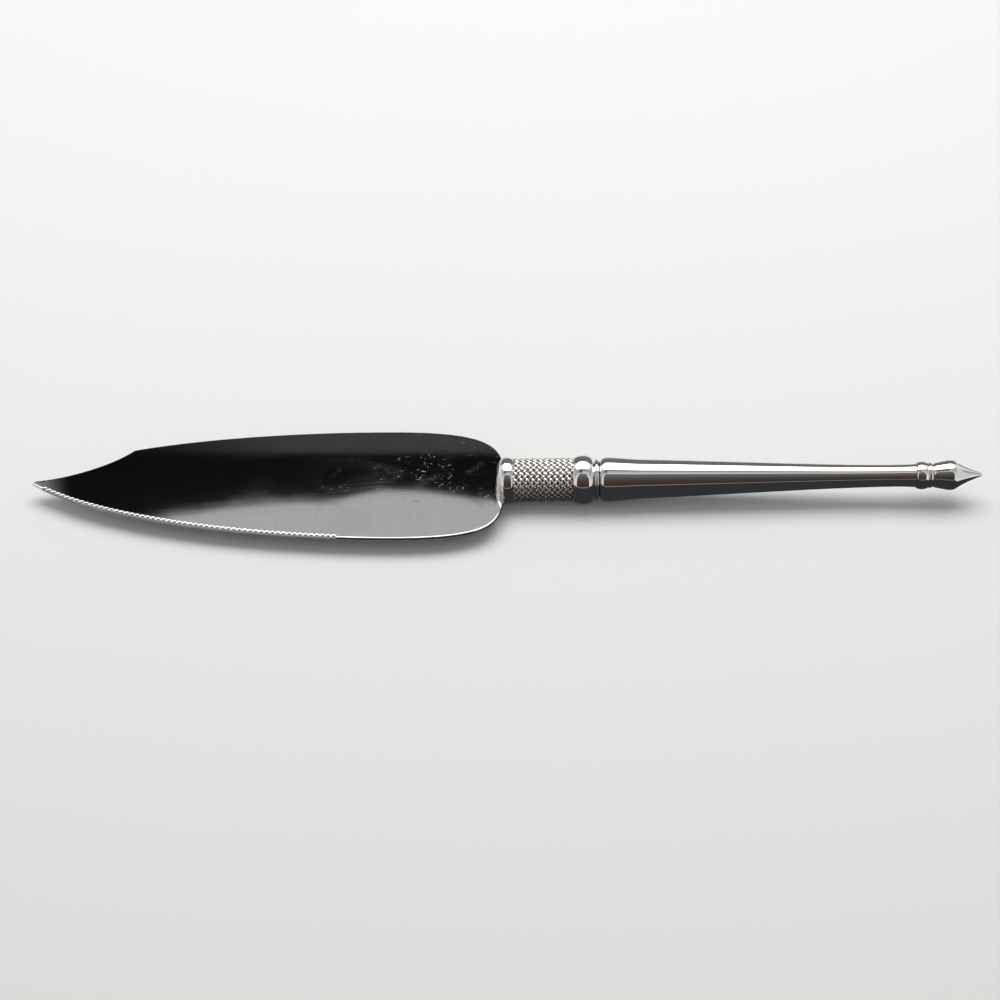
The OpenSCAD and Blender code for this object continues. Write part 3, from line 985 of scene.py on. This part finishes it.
def stage_card(name, corners, paint, sides=0):
    """Card with its corners in metres, or several cards with so many sides each."""
    sides = sides or len(corners)
    faces = [tuple(range(i, i + sides)) for i in range(0, len(corners), sides)]
    obj = new_object(name, corners, faces)
    material = bpy.data.materials.new(name)
    tree = empty_tree(material)
    place = tree.nodes.new("ShaderNodeTexCoord").outputs["Object"]
    # Painted reflection: the card glows with its paint, and only glossy rays see it
    glow = put(tree, "ShaderNodeEmission", {"Color": paint(tree, place), "Strength": 1.0})
    put(tree, "ShaderNodeOutputMaterial", {"Surface": glow.outputs[0]})
    dress(obj, material)
    obj.visible_camera = obj.visible_diffuse = obj.visible_shadow = False
    obj.visible_transmission = obj.visible_volume_scatter = False


def plain(*tint):
    """Paint of one colour, or of one grey."""
    return lambda tree, place: (*(tint if len(tint) == 3 else tint * 3), 1.0)


def fading(axis, start, end, near, far):
    """Paint that goes from near to far between two places on one axis."""

    def paint(tree, place):
        return mixed(tree, ramp(tree, split(tree, place)[axis], start, end), near, far)

    return paint


class PIESERVER_OT_stage(Operator):
    """Make the pale floor, the lights, the cards that the metal reflects, and the camera"""

    bl_idname = "pie_server.stage"
    bl_label = "Make stage"

    def execute(self, context):
        scene = context.scene
        s = scene.stage_sizes
        self.floor(s)
        eye = self.camera(scene, s)
        self.lights(scene, s)
        self.cards(scene, s, eye)
        scene.view_settings.view_transform = "Standard"
        return {"FINISHED"}

    def floor(self, s):
        half = 4.0
        obj = new_object("floor", overhead(-half, half, -half, half, 0), [(0, 1, 2, 3)])
        material, tree, shader, place = new_material("pale_floor", 0.0)
        noise = noise_node(tree, place, 3.0, 2.0)
        tint = tuple(s.floor)
        # Far from the piece the floor brightens to the backdrop's level, so no horizon shows
        away = ramp(tree, far_off(tree, place), 0.6, 1.9)
        surface = {
            "Base Color": mixed(tree, noise, darker(tint, 0.985), tint),
            "Emission Color": mixed(tree, away, (0.0, 0.0, 0.0), (0.42, 0.418, 0.414)),
            "Emission Strength": 1.0,
            "Roughness": 0.8,
            "Specular IOR Level": 0.2,
        }
        fill(tree, shader, surface)
        dress(obj, material)

    def camera(self, scene, s):
        data = bpy.data.cameras.new("camera")
        data.lens = s.lens
        data.sensor_width = 36.0
        data.shift_y = -0.0147
        data.clip_start, data.clip_end = 0.01, 30.0
        cam = bpy.data.objects.new("camera", data)
        scene.collection.objects.link(cam)
        eye = np.array([0.0, -math.cos(s.rise), math.sin(s.rise)]) * s.away + [EYE_ASIDE, 0, s.aim]
        cam.location = eye
        cam.rotation_euler = (math.pi / 2 - s.rise, 0, 0)
        scene.camera = cam
        return eye

    def lights(self, scene, s):
        data = bpy.data.lights.new("softbox", "AREA")
        data.shape = "ELLIPSE"
        data.size, data.size_y = 1.6, 0.92
        data.energy = s.lamp
        lamp = bpy.data.objects.new("softbox", data)
        lamp.location = (0, 0.48, 1.0)
        scene.collection.objects.link(lamp)
        world = bpy.data.worlds.new("studio")
        scene.world = world
        tree = empty_tree(world)
        path = tree.nodes.new("ShaderNodeLightPath")
        seen = math_node(tree, "MAXIMUM", path.outputs["Is Camera Ray"], path.outputs["Is Glossy Ray"])
        seen = math_node(tree, "MAXIMUM", seen, path.outputs["Is Transmission Ray"])
        limits = {"Value": seen, "To Min": s.sky, "To Max": BACKDROP}
        strength = put(tree, "ShaderNodeMapRange", limits).outputs[0]
        sky = {"Color": (1.0, 0.995, 0.985, 1.0), "Strength": strength}
        back = put(tree, "ShaderNodeBackground", sky)
        put(tree, "ShaderNodeOutputWorld", {"Surface": back.outputs[0]})

    def cards(self, scene, s, eye):
        layout = Layout(scene)
        level = layout.axis_h * MM - scene.blade_sizes.drop + scene.blade_sizes.thick / 2
        shift = -layout.middle * MM
        mirror_eye = np.array([eye[0], eye[1], 2 * level - eye[2]])

        def on_wall(x, y, depth):
            """Place on the wall that the blade mirrors at a point of its face."""
            p = np.array([x * MM + shift, y * MM, level])
            t = (depth - mirror_eye[1]) / (p[1] - mirror_eye[1])
            return tuple(mirror_eye + (p - mirror_eye) * t)

        self.blade_cards(s, on_wall)
        self.handle_cards()
        line = [(x * MM + shift, (y - UNDER_BLADE * (x < 0)) * MM, 0.0004) for x, y in FLOOR_LINE]
        corners = [*line, (0.5, -0.6, 0.0004), (-0.5, -0.6, 0.0004)]
        # Painted reflection: a dark card just over the pale floor that only the metal mirrors
        stage_card("dark_on_floor", corners, plain(0.035, 0.037, 0.04))

    def blade_cards(self, s, on_wall):
        """Cards that the blade's face mirrors towards the camera."""
        near = WALL - CARD_STEP
        stage_card("wall_behind", upright(-0.38, 0.1, 0.3, 0.5, WALL), plain(*BLACK))
        low = [on_wall(x, y, near) for x, y in NEAR_LIGHT]
        top = 0.5
        for name, part, value, back in (("wide", 1.0, 0.11, 0.4), ("narrow", 0.5, 0.3, 0.6)):
            depth = WALL - back * CARD_STEP
            rim = [on_wall(x, y + part * softness(x), depth) for x, y in NEAR_LIGHT]
            stage_card(
                "light_border_" + name,
                [*rim, (*rim[-1][:2], top), (*rim[0][:2], top)],
                plain(value, value * 0.99, value * 0.98),
            )
        stage_card(
            "light_for_near_half",
            [*low, (low[-1][0] + 0.01, near, top), (low[0][0] - 0.05, near, top)],
            plain(0.62, 0.615, 0.605),
        )
        self.streaks(s, on_wall)
        band = [(-130, 30), (-130, 16.3), (-6, 16.2), (6, 30)]
        fade = [on_wall(x, 16, WALL)[0] for x in (-128, -62)]
        stage_card(
            "light_for_far_band",
            [on_wall(x, y, near) for x, y in band],
            fading(0, *fade, (0.011, 0.011, 0.0115), (0.072, 0.072, 0.074)),
        )
        tip = [on_wall(x, y, near) for x, y in ((-172, 12), (-172, -14), (-140, -14), (-140, 12))]
        fade = [on_wall(x, 0, WALL)[0] for x in (-164, -146)]
        stage_card("light_for_tip", tip, fading(0, *fade, (0.60, 0.565, 0.52), BLACK))

    def streaks(self, s, on_wall):
        """Thin slivers of light along the border, so that it looks brushed."""
        chance = random.Random(s.seed)
        border_x, border_y = np.array(NEAR_LIGHT, float).T
        corners = []
        for _ in range(s.streaks):
            x, half = chance.uniform(-108, -14), chance.uniform(2.0, 8.0)
            rise = chance.uniform(0.0, 1.4) ** 2 * softness(x) - 0.1
            thick = chance.uniform(0.15, 0.38)
            y = [float(np.interp(at, border_x, border_y)) + rise for at in (x - half, x, x + half)]
            lens = [(x - half, y[0]), (x, y[1] - thick), (x + half, y[2]), (x, y[1] + thick)]
            corners.extend(on_wall(px, py, WALL - 0.8 * CARD_STEP) for px, py in lens)
        stage_card("light_streaks", corners, plain(0.27), 4)

    def handle_cards(self):
        """Cards that the turned pieces and the teeth mirror: behind, in front, aside and overhead."""
        behind, before = WALL - 2 * CARD_STEP, FRONT + CARD_STEP
        stage_card("wall_by_grip", upright(0.004, 0.55, 0.002, 0.5, behind), plain(0.17))
        stage_card("low_wall", upright(-0.5, 0.004, 0.002, 0.355, behind), plain(0.17))
        outline = [(-0.55, 0.0), (0.55, 0.0), (0.8, 0.8), (0.6, ROOF), (-0.6, ROOF), (-0.8, 0.8)]
        stage_card(
            "dark_in_front",
            [(x, FRONT, z) for x, z in outline],
            fading(2, 0.1, 1.4, (0.050, 0.038, 0.032), (0.16, 0.153, 0.152)),
        )
        stage_card("pink_strip_in_front", upright(-0.5, 0.5, 0.0, 0.045, before), plain(0.34, 0.235, 0.18))
        for side, word in ((-1, "_left"), (1, "_right")):
            for name, z0, z1, value in (("low_side", 0.0, 0.7, 0.72), ("high_side", 0.7, ROOF, 0.42)):
                x = SIDE * side
                corners = [(x, FRONT, z0), (x, WALL, z0), (x, WALL, z1), (x, FRONT, z1)]
                stage_card(name + word, corners, plain(value, value, value * 1.01))
        stage_card(
            "gray_overhead",
            overhead(-SIDE, SIDE, FRONT, 0.01, ROOF),
            fading(0, -0.75, -0.5, (0.40, 0.365, 0.33), (0.12, 0.12, 0.12)),
        )
        strip = ROOF - CARD_STEP
        stage_card(
            "strip_over_beads", overhead(-SIDE, -0.02, -0.70, -0.48, strip), plain(0.60, 0.595, 0.59)
        )
        stage_card(
            "strip_over_grip",
            overhead(-0.02, SIDE, -0.70, -0.05, strip),
            fading(1, -0.05, -0.62, (0.32, 0.32, 0.32), (0.66, 0.655, 0.65)),
        )


class PIESERVER_PT_panel(Panel):
    """Sizes, finishes and the steps that make the piece"""

    bl_idname = "PIESERVER_PT_panel"
    bl_label = "Pie server"
    bl_space_type = "VIEW_3D"
    bl_region_type = "UI"
    bl_category = "Pie server"

    def draw(self, context):
        column = self.layout.column()
        for step in STEPS:
            column.operator(step.bl_idname)
        for holder in HOLDERS:
            group = getattr(context.scene, holder)
            column.label(text=holder.replace("_", " ").capitalize())
            for name in group.bl_rna.properties.keys():
                if name not in ("rna_type", "name"):
                    column.prop(group, name)


HOLDERS = {
    "blade_sizes": BladeSizes,
    "tooth_sizes": ToothSizes,
    "handle_sizes": HandleSizes,
    "finial_sizes": FinialSizes,
    "band_sizes": BandSizes,
    "finishes": Finishes,
    "stage_sizes": StageSizes,
}
STEPS = (
    PIESERVER_OT_blade,
    PIESERVER_OT_beads,
    PIESERVER_OT_band,
    PIESERVER_OT_grip,
    PIESERVER_OT_finial,
    PIESERVER_OT_stage,
)


def register():
    for cls in (*HOLDERS.values(), *STEPS, PIESERVER_PT_panel):
        bpy.utils.register_class(cls)
    for name, cls in HOLDERS.items():
        setattr(bpy.types.Scene, name, PointerProperty(type=cls))


def unregister():
    for name in HOLDERS:
        delattr(bpy.types.Scene, name)
    for cls in reversed((*HOLDERS.values(), *STEPS, PIESERVER_PT_panel)):
        bpy.utils.unregister_class(cls)


def main():
    register()
    bpy.ops.pie_server.blade()
    bpy.ops.pie_server.beads()
    bpy.ops.pie_server.band()
    bpy.ops.pie_server.grip()
    bpy.ops.pie_server.finial()
    bpy.ops.pie_server.stage()


if __name__ == "__main__":
    main()
